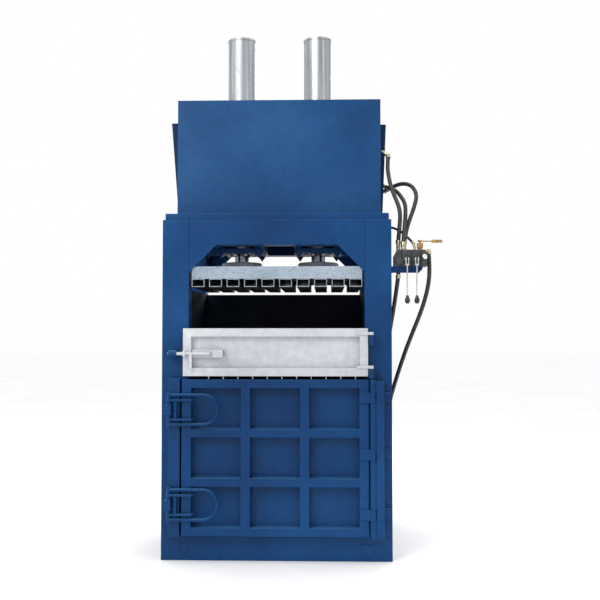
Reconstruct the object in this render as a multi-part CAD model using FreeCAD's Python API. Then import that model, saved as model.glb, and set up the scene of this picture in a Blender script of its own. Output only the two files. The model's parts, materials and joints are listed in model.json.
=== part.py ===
"""Twin-cylinder vertical baler, modelled in millimetres.

Origin: centre of the base at floor level. +X is right, +Y is towards the rear, +Z is up.
The doors face -Y.
"""
import FreeCAD, Part
import math
import os

V = FreeCAD.Vector
os.makedirs("parts", exist_ok=True)

# ---------------------------------------------------------------- driving dimensions
# Frame
body_w = 1400.0          # across the columns
body_d = 880.0           # front face to rear face of the columns
plinth_h = 144.0         # height of the base beams
column_w = 163.0
column_d = 120.0
section_t = 8.0          # wall of columns, lintels and base beams
frame_top = 2067.0       # top of columns and lintels
lintel_h = 154.0
gusset_leg = 167.0
gusset_t = 10.0
tray_h = 40.0            # top tray
tray_inset = 14.0
tray_t = 6.0
# Chamber
wall_t = 8.0
wall_top = 1640.0        # upper edge of side and rear walls
rear_gap = 90.0          # inner face of the rear wall to the rear face of the frame
rib_h = 80.0
rib_depth = 75.0
rib_t = 6.0
rib_count = 5
joist_w = 100.0
pad_proud = 4.0          # small pads on the front sill
left_pad_x = (119.0, 165.0)      # from the left side of the frame
right_pad_x = (122.0, 183.0)     # from the right side
left_pad_z = (48.0, 103.0)
right_pad_z = (25.0, 103.0)
floor_t = 20.0
groove_w = 29.0          # strap groove, and the space between two platen tubes
groove_depth = 12.0
floor_grooves = 5
# Press
cyl_spacing = 500.0      # between the two cylinder axes
cyl_y = -45.0            # cylinder axes, front to rear
barrel_r = 92.0
bore_r = 70.0
barrel_top = 3303.0
cap_t = 24.0
cap_lip = 3.0            # rim of the cap, proud of the barrel
cap_rim_w = 12.0
cap_dish = 5.0
head_r = 98.0
head_h = 65.0
rod_r = 45.0
piston_h = 80.0
piston_clear = 0.3
rod_clear = 0.3
top_clear = 10.0         # above the piston when the platen is up
mount_t = 30.0
beam_w = 50.0
head_bolts = 8
bolt_r = 8.0
bolt_fit = 0.5
bolt_hex = 24.0
bolt_head_h = 10.0
bolt_depth = 0.5         # share of the head's height that the bolt enters
bolt_hole_spare = 6.5    # hole deeper than the bolt
mount_bore_clear = 10.0  # round the rod
stiffener_w = 46.0       # under the mounting plates
stiffener_drop = 32.0
stiffener_t = 12.0
spigot_r = 25.0          # rod end inside the piston
ring_groove_w = 8.0
ring_groove_depth = 5.0
ring_groove_in = 18.0    # from either end of the piston
# Platen, drawn up
platen_side_gap = 15.0   # to the chamber on each side, front and rear
platen_bottom = 1655.0
platen_tubes = 10
tube_h = 50.0
tube_t = 5.0
band_h = 76.0
band_t = 12.0
pad_w = 300.0            # square pad under each rod flange
pad_t = 18.0
flange_r = 132.0
flange_t = 30.0
# Hood
hood_w = 1302.0
hood_top = 2870.0
hood_front_y = -200.0
hood_rear_y = 200.0
hood_t = 3.0
hood_return = 60.0
hood_lip = 32.0
cover_top_left = 2737.0
cover_top_right = 2720.0
cover_out_right = 13.0
cover_lean_left = 4.5    # degrees outward from upright
cover_lean_right = 2.4
cover_flange = 45.0
# Doors
door_gap = 2.0           # behind the lower door
door_skin_t = 6.0
door_depth = 64.0
door_in_left = 134.0     # side of the frame to the door's left edge
door_in_right = 144.0
door_bottom = 160.0
door_h = 932.0
door_bar_w = 57.0        # upright members
door_bar_h = 50.0        # level members
door_bar_t = 6.0
feed_gap = 6.0           # behind the feed door
feed_depth = 54.0
feed_bottom = 1113.0
feed_h = 288.0
feed_rim = 50.0
feed_rim_t = 5.0
feed_panel_t = 4.0
feed_recess = 34.0       # front of the rim to the panel
feed_in_left = 4.0       # narrower than the lower door, left and right
feed_in_right = 3.0
tab_count = 11
tab_pitch = 88.4
tab_shift = 40.0         # row of tabs sits right of the middle
tab_back = 4.0
tab_w = 5.0
tab_h = 17.0
tab_d = 30.0
# Lower door hinge
hinge_out = 24.0         # axis right of the door's edge, and in front of the frame
hinge_proud = 74.0
hinge_r = 18.0
hinge_rod_r = 11.0
hinge_clear = 0.3
hinge_break = 1.5        # between two knuckles
strap_zs = (292.0, 647.0, 986.0)
strap_h = 62.0
strap_t = 12.0
strap_lap = 56.0
post_w = 47.0
post_d = 80.0
hinge_block = (40.0, 26.0, 62.0)
post_t = 5.0             # wall of both door posts
post_under = 8.0         # posts start below the door and stop short of its top
post_short = 9.0
hinge_rod_under = 6.0    # below the lowest knuckle
hinge_cap_h = 8.0
# Feed door hinge
feed_hinge_out = 16.0    # axis right of the doors' edge, and in front of the frame
feed_hinge_proud = 66.0
feed_eye_r = 14.0
feed_pin_r = 8.0
feed_strap_h = 18.0
feed_strap_t = 8.0
feed_strap_l = 88.0
feed_strap_zs = (1160.0, 1361.0)
feed_pin_proud = 6.0
gudgeon_h = 61.0
gudgeon_web = 14.0
# Slide bolt
slide_r = 10.0
slide_clear = 0.4
slide_z = 1249.0
slide_proud = 74.0       # axis in front of the frame
slide_reach = 84.0       # bolt's tip left of the door's edge
slide_l = 256.0
guide_in = 58.0          # channel's start right of the door's edge
guide_l = 189.0
guide_h = 46.0
guide_t = 5.0
guide_block_l = 60.0
guide_front = 16.0       # guide metal in front of the bolt's axis
left_guide_in = 6.0      # small guide on the left rim
left_guide_w = 15.0
pull_in = 54.0           # pull handle right of the door's edge
pull_w = 18.0
pull_t = 8.0
pull_l = 100.0
keeper_out = 80.0        # keeper's left side, left of the door's edge
keeper_w = 48.0
keeper_in_r = 14.0
keeper_t = 6.0
# Door latches
latch_zs = (349.0, 913.5)
latch_post_w = 72.0
latch_post_d = 60.0
latch_post_gap = 12.0     # to the door's left edge
latch_post_z = (152.0, 1098.0)
latch_out = 74.0         # pin left of the door's edge, and in front of the frame
latch_proud = 88.0
latch_pin_r = 11.0
latch_clear = 0.3
lug_w = 40.0
lug_left = 24.8          # left of the pin
lug_front = 22.0         # in front of the pin
lug_h = 59.0
claw_plate_t = 10.0
claw_gap = 105.0         # between the two claw plates
claw_reach = 149.0       # pin to nose
claw_w = 34.0
claw_nose_gap = 1.5
claw_tube_r = 9.0
claw_tube_x = 40.0
claw_nose_w = 34.0
pin_over = 14.0          # latch pin past the handle's legs
handle_r = 9.5
handle_leg_gap = 177.0
handle_reach = 291.0
# Valve group
bracket_l = 189.0
bracket_h = 40.0
bracket_t = 6.0
bracket_z = 1739.0
bracket_cut = 24.0       # slant at its outer lower corner
bracket_end_in = 28.0    # solid end of the channel
bracket_hole = (42.0, 66.0)      # return hose, from the frame's side and front
valve_out = (17.0, 218.0)        # from the frame's side
valve_back = (10.0, 115.0)       # from the frame's front
valve_h = 102.0
valve_cut = 26.0
joint_w = 3.0            # open joint between two valve sections
joint_deep = 6.0
end_cap_l = 34.0         # spring caps behind the spools
plug_r = 24.0            # inlet plug, front left
plug_l = 9.0
lever_outs = (92.0, 150.0)       # from the frame's side
lever_z = 1818.0
lever_proud = 32.0       # in front of the frame
lever_rod_r = 4.0
lever_l = 218.0
lever_pin_r = 5.0
spool_r = 22.0
ear_t = 10.0
ear_h = 22.0
ear_clear = 0.5
fork_t = 5.0
fork_w = 16.0
fork_drop = 38.0
fork_bridge = 11.0
fork_round = 11.0
knob_r = 15.5
knob_l = 50.0
knob_neck = 7.0
knob_collar = 9.0
relief_r = 18.0
relief_up = 18.0         # above the spools' level
relief_stem = 10.0
ball_out = 178.0         # from the frame's side and front
ball_back = 60.0
ball_r = 18.0
ball_h = 44.0
ball_neck_h = 12.0
ball_stem = (7.0, 8.0)   # radius and height
ball_lever_l = 138.0
ball_lever_t = 6.0
ball_lever_w = 16.0
ball_hub = (13.0, 10.0)
ball_grip = (66.0, 22.0, 19.0)   # length, width and height
# Hoses
hose_r = 13.0
drain_r = 8.0
fitting_r = 16.0
drain_fitting_r = 11.0
# Power unit
tank_l = 720.0
tank_in = 80.0           # right end to the side of the frame
tank_d = 350.0
tank_z = (60.0, 560.0)
tank_t = 4.0
lid_t = 10.0
lid_lap = 15.0
tank_leg = 50.0
filler = (60.0, 70.0)    # from the tank's left front corner
filler_neck = (34.0, 40.0)       # radius and height
filler_cap = (42.0, 26.0, 60.0)  # radius, underside and top above the lid
motor_r = 110.0
motor_l = 300.0
motor_in = 110.0         # motor from the tank's left end
motor_back = 250.0       # axis from the rear of the frame
motor_foot_h = 20.0
fan_cover_l = 70.0
fan_cover_t = 3.0
fan_r = 95.0
fan_blades = 7
vent_r = 8.0
vent_rings = (35.0, 62.0)
fin_h = 12.0
fin_t = 4.0
fin_step = 15.0          # degrees
shield_l = 22.0          # end shields
motor_foot = (190.0, 30.0)       # width, and inset from each end
motor_arch = 120.0
terminal_box = (120.0, 45.0, 110.0)      # length, proud of the fins, height
coupling_r = 32.0
coupling_gap = 12.0
shaft_r = 14.0
shaft_clear = 0.3
bell_l = 70.0
bell_r = 88.0
pump_l = 120.0
pump_w = 110.0
pump_round = 14.0
pump_foot = (40.0, 80.0)
bell_t = 10.0
bell_plate = 8.0

# ---------------------------------------------------------------- levels and planes that follow
half_w = body_w / 2
inner_x = half_w - column_w
front_y = -body_d / 2
rear_y = body_d / 2
bay_front = front_y + column_d
bay_rear = rear_y - column_d
lintel_z = frame_top - lintel_h
rear_wall_y = rear_y - rear_gap
tray_top = frame_top + tray_h
floor_top = plinth_h + floor_t
cyl_xs = (-cyl_spacing / 2, cyl_spacing / 2)
beam_in = head_r + 2.0
mount_half = beam_in + beam_w
mount_z = lintel_z - mount_t
head_top = lintel_z + head_h
bolt_end = lintel_z + head_h * bolt_depth
platen_half = inner_x - platen_side_gap
platen_y0 = front_y + platen_side_gap
platen_y1 = rear_wall_y - platen_side_gap
band_z = platen_bottom + tube_h
platen_top = band_z + band_h
pad_top = platen_top + pad_t
flange_top = pad_top + flange_t
piston_top = barrel_top - cap_t - top_clear
piston_z = piston_top - piston_h
tube_w = (2 * platen_half - (platen_tubes - 1) * groove_w) / platen_tubes
door_x0 = door_in_left - half_w
door_x1 = half_w - door_in_right
door_w = door_x1 - door_x0
door_back = front_y - door_gap
door_bars_back = door_back - door_skin_t
door_front = door_bars_back - door_depth
door_top = door_bottom + door_h
feed_back = front_y - feed_gap
feed_front = feed_back - feed_depth
feed_top = feed_bottom + feed_h
feed_x = (door_x0 + feed_in_left, door_x1 - feed_in_right)
hinge_x = door_x1 + hinge_out
hinge_y = front_y - hinge_proud
feed_hinge_x = door_x1 + feed_hinge_out
feed_hinge_y = front_y - feed_hinge_proud
slide_x0 = door_x0 - slide_reach
slide_x1 = slide_x0 + slide_l
slide_y = front_y - slide_proud
guide_x = (door_x0 + guide_in, door_x0 + guide_in + guide_l)
left_guide = (door_x0 + left_guide_in, door_x0 + left_guide_in + left_guide_w)
pull_x = door_x0 + pull_in
keeper_x = (door_x0 - keeper_out, door_x0 - keeper_out + keeper_w)
latch_x = door_x0 - latch_out
latch_y = front_y - latch_proud
post_x0 = hinge_x + hinge_r + 2.0
valve_z = bracket_z + bracket_h
valve_top = valve_z + valve_h
valve_x = (half_w + valve_out[0], half_w + valve_out[1])
valve_y = (front_y + valve_back[0], front_y + valve_back[1])
lever_xs = (half_w + lever_outs[0], half_w + lever_outs[1])
lever_y = front_y - lever_proud
ball_x = half_w + ball_out
ball_y = front_y + ball_back
tank_x = (half_w - tank_in - tank_l, half_w - tank_in)
motor_x0 = tank_x[0] + motor_in
motor_y = rear_y + motor_back
tank_top = tank_z[1] + lid_t
motor_z = tank_top + motor_foot_h + motor_r


# ---------------------------------------------------------------- helpers
def block(x, y, z):
    """Box from three (low, high) pairs."""
    return Part.makeBox(x[1] - x[0], y[1] - y[0], z[1] - z[0], V(x[0], y[0], z[0]))


def rod(r, p, q):
    """Round bar of radius r from point p to point q."""
    axis = V(*q) - V(*p)
    return Part.makeCylinder(r, axis.Length, V(*p), axis)


def ring(r_out, r_in, p, q):
    """Round tube from point p to point q."""
    return rod(r_out, p, q).cut(rod(r_in, p, q))


def hollow(x, y, z, t, along):
    """Rectangular tube with wall t, open at both ends along one axis."""
    inner = [(a + t, b - t) for a, b in (x, y, z)]
    inner["xyz".index(along)] = (x, y, z)["xyz".index(along)]
    return block(x, y, z).cut(block(*inner))


def prism(points, normal, depth):
    """Straight solid from a closed outline of 3-D points."""
    corners = [V(*p) for p in points]
    face = Part.Face(Part.makePolygon(corners + corners[:1]))
    return face.extrude(V(*normal) * depth)


def fuse(shapes):
    """One solid from pieces that are welded or cast together."""
    joined = shapes[0].multiFuse(shapes[1:]).removeSplitter() if len(shapes) > 1 else shapes[0]
    return joined


def mirror_x(shape):
    return shape.mirror(V(0, 0, 0), V(1, 0, 0))


def turned(profile, centre):
    """Solid of revolution about the upright line through centre, from (r, z) points."""
    points = [V(centre[0] + r, centre[1], z) for r, z in profile]
    face = Part.Face(Part.makePolygon(points + points[:1]))
    return face.revolve(V(centre[0], centre[1], 0), V(0, 0, 1), 360)


def save(node, solids):
    """Write one node, made of one or more separate solids."""
    solids = [s for shape in solids for s in shape.Solids]
    shape = solids[0] if len(solids) == 1 else Part.makeCompound(solids)
    for solid in solids:
        if not solid.isValid() or solid.Volume <= 0:
            raise ValueError(node + " holds a solid that is not valid")
    shape.exportStep("parts/" + node + ".step")
    print("%-20s %2d solids %12.0f mm3" % (node, len(solids), sum(s.Volume for s in solids)))


# ---------------------------------------------------------------- frame and chamber
def base_beams():
    """Two cross sills with floor beams between them; pads are welded to the front sill."""
    sills = []
    for y in ((front_y, bay_front), (bay_rear, rear_y)):
        sills.append(hollow((-half_w, half_w), y, (0, plinth_h), section_t, "x"))
    proud = (front_y - pad_proud, front_y)
    pads = [block((left_pad_x[0] - half_w, left_pad_x[1] - half_w), proud, left_pad_z),
            block((half_w - right_pad_x[1], half_w - right_pad_x[0]), proud, right_pad_z)]
    sills[0] = fuse([sills[0]] + pads)
    spacing = (inner_x - joist_w / 2) / 2
    beams = [hollow((x - joist_w / 2, x + joist_w / 2), (bay_front, bay_rear), (0, plinth_h), section_t, "y")
             for x in (-spacing, 0, spacing)]
    for low, high in ((-half_w, -inner_x), (inner_x, half_w)):
        beams.append(hollow((low, high), (bay_front, bay_rear), (0, plinth_h), section_t, "y"))
    return sills + beams


def groove_centres():
    """Middles of the spaces between platen tubes."""
    pitch = tube_w + groove_w
    return [-platen_half + tube_w + groove_w / 2 + i * pitch for i in range(platen_tubes - 1)]


def floor_plate():
    plate = block((-inner_x, inner_x), (front_y, rear_wall_y), (plinth_h, floor_top))
    centres = groove_centres()
    step = (len(centres) - 1) // (floor_grooves - 1)
    for x in centres[::step]:
        groove = block((x - groove_w / 2, x + groove_w / 2), (front_y - 1, rear_wall_y + 1),
                       (floor_top - groove_depth, floor_top + 1))
        plate = plate.cut(groove)
    return [plate]


def columns():
    posts = []
    for y in ((front_y, bay_front), (bay_rear, rear_y)):
        for x in ((-half_w, -inner_x), (inner_x, half_w)):
            posts.append(hollow(x, y, (plinth_h, frame_top), section_t, "z"))
    return posts


def lintels():
    return [hollow((-inner_x, inner_x), y, (lintel_z, frame_top), section_t, "x")
            for y in ((front_y, bay_front), (bay_rear, rear_y))]


def corner_gussets():
    plates = []
    for y in (front_y, rear_y - gusset_t):
        outline = [(inner_x, y, lintel_z), (inner_x - gusset_leg, y, lintel_z),
                   (inner_x, y, lintel_z - gusset_leg)]
        plate = prism(outline, (0, 1, 0), gusset_t)
        plates += [plate, mirror_x(plate)]
    return plates


def side_walls():
    right = block((inner_x, inner_x + wall_t), (bay_front, bay_rear), (plinth_h, wall_top))
    return [mirror_x(right), right]


def rear_wall():
    return [block((-inner_x, inner_x), (rear_wall_y, rear_wall_y + wall_t), (plinth_h, wall_top))]


def rib_levels():
    first = plinth_h + rib_h
    step = (wall_top - rib_h - first) / (rib_count - 1)
    return [first + i * step for i in range(rib_count)]


def wall_ribs():
    """Level channels welded to the outside of the three walls."""
    side_x = (inner_x + wall_t, inner_x + wall_t + rib_depth)
    back_y = (rear_wall_y + wall_t, rear_y)
    ribs = []
    for z in rib_levels():
        outer_z, inner_z = (z, z + rib_h), (z + rib_t, z + rib_h - rib_t)
        side = block(side_x, (bay_front, bay_rear), outer_z)
        side = side.cut(block((side_x[0], side_x[1] - rib_t), (bay_front, bay_rear), inner_z))
        back = block((-inner_x, inner_x), back_y, outer_z)
        back = back.cut(block((-inner_x, inner_x), (back_y[0], back_y[1] - rib_t), inner_z))
        ribs += [mirror_x(side), side, back]
    return ribs


def top_tray():
    """Shallow inverted tray on the lintels, open above the cylinder beams."""
    x, y = half_w - tray_inset, rear_y - tray_inset
    tray = block((-x, x), (-y, y), (frame_top, tray_top))
    hollow_under = block((tray_t - x, x - tray_t), (tray_t - y, y - tray_t),
                         (frame_top - 1, tray_top - tray_t))
    reach = cyl_spacing / 2 + mount_half
    window = block((-reach, reach), (cyl_y - mount_half, cyl_y + mount_half), (frame_top, tray_top + 1))
    return [tray.cut(hollow_under).cut(window)]


# ---------------------------------------------------------------- press
def cylinder_beams():
    beams = []
    for cx in cyl_xs:
        for low in (cx - mount_half, cx + beam_in):
            beams.append(hollow((low, low + beam_w), (bay_front, bay_rear), (lintel_z, frame_top),
                                section_t, "y"))
    return beams


def bolt_places(cx):
    ring_r = (head_r + bore_r) / 2
    for i in range(head_bolts):
        angle = math.radians(360.0 / head_bolts * (i + 0.5))
        yield cx + ring_r * math.cos(angle), cyl_y + ring_r * math.sin(angle)


def cylinder_mounts():
    """Plate under each pair of beams, with stiffeners hanging at its corners."""
    mounts = []
    for cx in cyl_xs:
        plate = block((cx - mount_half, cx + mount_half), (cyl_y - mount_half, cyl_y + mount_half),
                      (mount_z, lintel_z))
        ribs = []
        for side in (-1, 1):
            tip = cx + side * (head_r + bolt_r * 3)
            for y in (cyl_y - mount_half, cyl_y + mount_half - stiffener_t):
                outline = [(tip - stiffener_w / 2, y, mount_z), (tip + stiffener_w / 2, y, mount_z),
                           (tip, y, mount_z - stiffener_drop)]
                ribs.append(prism(outline, (0, 1, 0), stiffener_t))
        bore = rod(rod_r + mount_bore_clear, (cx, cyl_y, mount_z - 1), (cx, cyl_y, lintel_z + 1))
        mount = fuse([plate] + ribs).cut(bore)
        for x, y in bolt_places(cx):
            mount = mount.cut(rod(bolt_r + bolt_fit, (x, y, mount_z - 1), (x, y, lintel_z + 1)))
        mounts.append(mount)
    return mounts


def cylinder_heads():
    heads = []
    for cx in cyl_xs:
        head = ring(head_r, rod_r + rod_clear, (cx, cyl_y, lintel_z), (cx, cyl_y, head_top))
        for x, y in bolt_places(cx):
            head = head.cut(rod(bolt_r + bolt_fit, (x, y, lintel_z - 1), (x, y, bolt_end + bolt_hole_spare)))
        heads.append(head)
    return heads


def hexagon(x, y, z, across, height):
    r = across / math.sqrt(3)
    corners = []
    for degrees in range(0, 360, 60):
        angle = math.radians(degrees)
        corners.append((x + r * math.cos(angle), y + r * math.sin(angle), z))
    return prism(corners, (0, 0, 1), height)


def cylinder_bolts():
    bolts = []
    for cx in cyl_xs:
        for x, y in bolt_places(cx):
            shank = rod(bolt_r, (x, y, mount_z - 1), (x, y, bolt_end))
            bolts.append(fuse([hexagon(x, y, mount_z - bolt_head_h, bolt_hex, bolt_head_h), shank]))
    return bolts


def cylinder_barrels():
    """Tube with its welded end cap, dished at the top and rimmed."""
    barrels = []
    for cx in cyl_xs:
        inside = barrel_top - cap_t
        lip, dish = barrel_r + cap_lip, barrel_r - 2 - cap_rim_w
        profile = [(bore_r, head_top), (barrel_r, head_top), (barrel_r, inside + 6), (lip, inside + 8),
                   (lip, barrel_top - 4), (barrel_r - 2, barrel_top), (dish, barrel_top),
                   (dish - 6, barrel_top - cap_dish), (0, barrel_top - 2), (0, inside), (bore_r, inside)]
        barrels.append(turned(profile, (cx, cyl_y)))
    return barrels


def rods():
    return [fuse([rod(rod_r, (cx, cyl_y, flange_top), (cx, cyl_y, piston_z)),
                  rod(spigot_r, (cx, cyl_y, piston_z), (cx, cyl_y, piston_top))]) for cx in cyl_xs]


def pistons():
    """Rings on the rods' spigots, each with two seal grooves."""
    pair = []
    for cx in cyl_xs:
        piston = ring(bore_r - piston_clear, spigot_r, (cx, cyl_y, piston_z), (cx, cyl_y, piston_top))
        for z in (piston_z + ring_groove_in, piston_top - ring_groove_in - ring_groove_w):
            piston = piston.cut(ring(bore_r, bore_r - ring_groove_depth, (cx, cyl_y, z),
                                     (cx, cyl_y, z + ring_groove_w)))
        pair.append(piston)
    return pair


def platen():
    """Welded pressing plate: band, top plate, webs and a pad under each rod."""
    body = block((-platen_half, platen_half), (platen_y0, platen_y1), (band_z, platen_top))
    half_pitch = cyl_spacing / 2
    xs = (-platen_half + band_t, -half_pitch, 0, half_pitch, platen_half - band_t)
    ys = (platen_y0 + band_t, cyl_y, platen_y1 - band_t)
    for x0, x1 in zip(xs, xs[1:]):
        for y0, y1 in zip(ys, ys[1:]):
            body = body.cut(block((x0 + band_t / 2, x1 - band_t / 2), (y0 + band_t / 2, y1 - band_t / 2),
                                  (band_z - 1, platen_top - band_t)))
    half = pad_w / 2
    pads = [block((cx - half, cx + half), (cyl_y - half, cyl_y + half), (platen_top, pad_top))
            for cx in cyl_xs]
    return [fuse([body] + pads)]


def platen_tube_row():
    tubes = []
    for i in range(platen_tubes):
        x = -platen_half + i * (tube_w + groove_w)
        tubes.append(hollow((x, x + tube_w), (platen_y0, platen_y1), (platen_bottom, band_z), tube_t, "y"))
    return tubes


def rod_flanges():
    chamfer = 8.0
    profile = [(0, pad_top), (flange_r, pad_top), (flange_r, flange_top - chamfer),
               (flange_r - chamfer, flange_top), (0, flange_top)]
    return [turned(profile, (cx, cyl_y)) for cx in cyl_xs]


# ---------------------------------------------------------------- hood
def hood_panels():
    """Folded front and rear panels, with side, top and bottom returns."""
    x = hood_w / 2
    front = block((-x, x), (hood_front_y, hood_front_y + hood_return), (tray_top, hood_top))
    front = front.cut(block((-x + hood_t, x - hood_t), (hood_front_y + hood_t, hood_front_y + hood_return),
                            (tray_top + hood_t, hood_top - hood_t)))
    front = front.cut(block((-x + hood_t, x - hood_t), (hood_front_y + hood_lip, hood_front_y + hood_return),
                            (tray_top, hood_top)))
    middle = (hood_front_y + hood_rear_y) / 2
    return [front, front.mirror(V(0, middle, 0), V(0, 1, 0))]


def cover(lean, top, out):
    """Right-hand side cover: a folded pan, open towards the cylinders, that leans out as it rises."""
    y = (hood_front_y + hood_return, hood_rear_y - hood_return)
    shift = (top - tray_top) * math.tan(math.radians(lean))
    x = hood_w / 2 + out
    outer = prism([(x - cover_flange, y[0], tray_top), (x, y[0], tray_top), (x + shift, y[0], top),
                   (x + shift - cover_flange, y[0], top)], (0, 1, 0), y[1] - y[0])
    y_in, z_in = y[0] + hood_t, top - hood_t
    inner = prism([(x - cover_flange - 1, y_in, tray_top - 1), (x - hood_t, y_in, tray_top - 1),
                   (x + shift - hood_t, y_in, z_in), (x - cover_flange - 1, y_in, z_in)],
                  (0, 1, 0), y[1] - y[0] - 2 * hood_t)
    return outer.cut(inner)


def hood_side_covers():
    return [mirror_x(cover(cover_lean_left, cover_top_left, 0.0)),
            cover(cover_lean_right, cover_top_right, cover_out_right)]


# ---------------------------------------------------------------- lower door
def door_lattice(inset, y):
    """The door's outline with its nine openings, all walls moved in by inset."""
    x0, x1 = door_x0, door_x1
    z0, z1 = door_bottom, door_top
    lattice = block((x0 + inset, x1 - inset), y, (z0 + inset, z1 - inset))
    cell_w = (door_w - 4 * door_bar_w) / 3
    cell_h = (door_h - 4 * door_bar_h) / 3
    for i in range(3):
        for k in range(3):
            x = x0 + door_bar_w + i * (cell_w + door_bar_w)
            z = z0 + door_bar_h + k * (cell_h + door_bar_h)
            lattice = lattice.cut(block((x - inset, x + cell_w + inset), (y[0] - 1, y[1] + 1),
                                        (z - inset, z + cell_h + inset)))
    return lattice


def door_grid():
    """Channel-section grid, open towards the skin."""
    outer = door_lattice(0, (door_front, door_bars_back))
    inner = door_lattice(door_bar_t, (door_front + door_bar_t, door_bars_back))
    return [outer.cut(inner)]


def door_skin():
    return [block((door_x0, door_x1), (door_bars_back, door_back), (door_bottom, door_top))]


def knuckle(z0, z1):
    return ring(hinge_r, hinge_rod_r + hinge_clear, (hinge_x, hinge_y, z0), (hinge_x, hinge_y, z1))


def strap_spans():
    return [(z - strap_h / 2, z + strap_h / 2) for z in strap_zs]


def door_straps():
    straps = []
    bore = rod(hinge_rod_r + hinge_clear, (hinge_x, hinge_y, 0), (hinge_x, hinge_y, door_top))
    for z0, z1 in strap_spans():
        y = (door_front - strap_t, door_front)
        plate = block((door_x1 - strap_lap, hinge_x), y, (z0, z1))
        straps.append(fuse([plate, rod(hinge_r, (hinge_x, hinge_y, z0), (hinge_x, hinge_y, z1))]).cut(bore))
    return straps


def hinge_post():
    """Square post on the right column, and three blocks welded beside it."""
    x = (post_x0, post_x0 + post_w)
    post = hollow(x, (front_y - post_d, front_y), (door_bottom - post_under, door_top - post_short),
                  post_t, "z")
    w, d, h = hinge_block
    blocks = [block((x[1], x[1] + w), (front_y - d, front_y), (z - h / 2, z + h / 2)) for z in strap_zs]
    return fuse([post] + blocks)


def hinge_knuckles():
    """Fixed knuckles fill the lengths between the straps and are webbed to the post."""
    ends = [door_bottom - post_under]
    for z0, z1 in strap_spans():
        ends += [z0 - hinge_break, z1 + hinge_break]
    ends.append(door_top - post_short)
    bore = rod(hinge_rod_r + hinge_clear, (hinge_x, hinge_y, 0), (hinge_x, hinge_y, door_top))
    knuckles = []
    for z0, z1 in zip(ends[::2], ends[1::2]):
        web = block((hinge_x, post_x0), (front_y - post_d, front_y - post_d + hinge_r), (z0, z1))
        knuckles.append(fuse([rod(hinge_r, (hinge_x, hinge_y, z0), (hinge_x, hinge_y, z1)), web]).cut(bore))
    return knuckles


def hinge_rod():
    foot = door_bottom - post_under - hinge_rod_under
    top = door_top - post_short
    cap = hinge_r - 1
    profile = [(0, foot), (hinge_rod_r, foot), (hinge_rod_r, top), (cap, top), (cap, top + hinge_cap_h - 3),
               (cap - 3, top + hinge_cap_h), (0, top + hinge_cap_h)]
    return [turned(profile, (hinge_x, hinge_y))]


# ---------------------------------------------------------------- feed door and its slide bolt
def feed_door_frame():
    """Folded rim round a recess, with a row of tabs under its lower edge."""
    x, y, z = feed_x, (feed_front, feed_back), (feed_bottom, feed_top)
    window_x = (x[0] + feed_rim, x[1] - feed_rim)
    window_z = (z[0] + feed_rim, z[1] - feed_rim)
    t = feed_rim_t
    rim = block(x, y, z).cut(block(window_x, y, window_z))
    core = block((x[0] + t, x[1] - t), (y[0] + t, y[1]), (z[0] + t, z[1] - t))
    core = core.cut(block((window_x[0] - t, window_x[1] + t), y, (window_z[0] - t, window_z[1] + t)))
    tabs = []
    tab_y = (y[0] + tab_back, y[0] + tab_back + tab_d)
    first = (x[0] + x[1]) / 2 + tab_shift - tab_pitch * (tab_count - 1) / 2
    for i in range(tab_count):
        middle = first + i * tab_pitch
        tabs.append(block((middle - tab_w / 2, middle + tab_w / 2), tab_y, (z[0] - tab_h, z[0])))
    return [fuse([rim.cut(core)] + tabs)]


def feed_door_panel():
    x = (feed_x[0] + feed_rim, feed_x[1] - feed_rim)
    y = (feed_front + feed_recess, feed_front + feed_recess + feed_panel_t)
    return [block(x, y, (feed_bottom + feed_rim, feed_top - feed_rim))]


def feed_axis(z):
    return (feed_hinge_x, feed_hinge_y, z)


def feed_hinge_straps():
    straps = []
    for z in feed_strap_zs:
        bar = block((feed_hinge_x - feed_strap_l, feed_hinge_x), (feed_front - feed_strap_t, feed_front),
                    (z, z + feed_strap_h))
        eye = rod(feed_eye_r, feed_axis(z), feed_axis(z + feed_strap_h))
        bore = rod(feed_pin_r + hinge_clear, feed_axis(z - 1), feed_axis(z + feed_strap_h + 1))
        straps.append(fuse([bar, eye]).cut(bore))
    return straps


def feed_door_gudgeons():
    """Boss, web and pin welded to the right column under each strap."""
    gudgeons = []
    for z in feed_strap_zs:
        top = z - hinge_clear
        boss = rod(feed_eye_r, feed_axis(top - gudgeon_h), feed_axis(top))
        web = block((feed_hinge_x - gudgeon_web / 2, feed_hinge_x + gudgeon_web / 2), (feed_hinge_y, front_y),
                    (top - gudgeon_h, top))
        pin = rod(feed_pin_r, feed_axis(top), feed_axis(top + feed_strap_h + feed_pin_proud))
        gudgeons.append(fuse([boss, web, pin]))
    return gudgeons


def slide_axis(x):
    return (x, slide_y, slide_z)


def bolt_guides():
    """Channel across the recess with a guide block, and a small guide on the left rim."""
    y_face = slide_y + slide_r + 2.0
    z = (slide_z - guide_h / 2, slide_z + guide_h / 2)
    channel = block(guide_x, (y_face, feed_front + feed_recess), z)
    channel = channel.cut(block(guide_x, (y_face + guide_t, feed_front + feed_recess),
                                (z[0] + guide_t, z[1] - guide_t)))
    bore = rod(slide_r + slide_clear, slide_axis(door_x0 - 50), slide_axis(guide_x[1] + 50))
    lump = block((guide_x[1] - guide_block_l, guide_x[1]), (slide_y - guide_front, y_face), z)
    main = fuse([channel, lump]).cut(bore)
    small = block(left_guide, (slide_y - guide_front, feed_front),
                  (slide_z - guide_front, slide_z + guide_front))
    return [main, small.cut(bore)]


def slide_bolt():
    bar = rod(slide_r, slide_axis(slide_x0), slide_axis(slide_x1))
    pull = block((pull_x - pull_w / 2, pull_x + pull_w / 2),
                 (slide_y - slide_r - pull_t + 2, slide_y - slide_r + 2),
                 (slide_z + slide_r - pull_l, slide_z + slide_r))
    return [fuse([bar, pull])]


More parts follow.
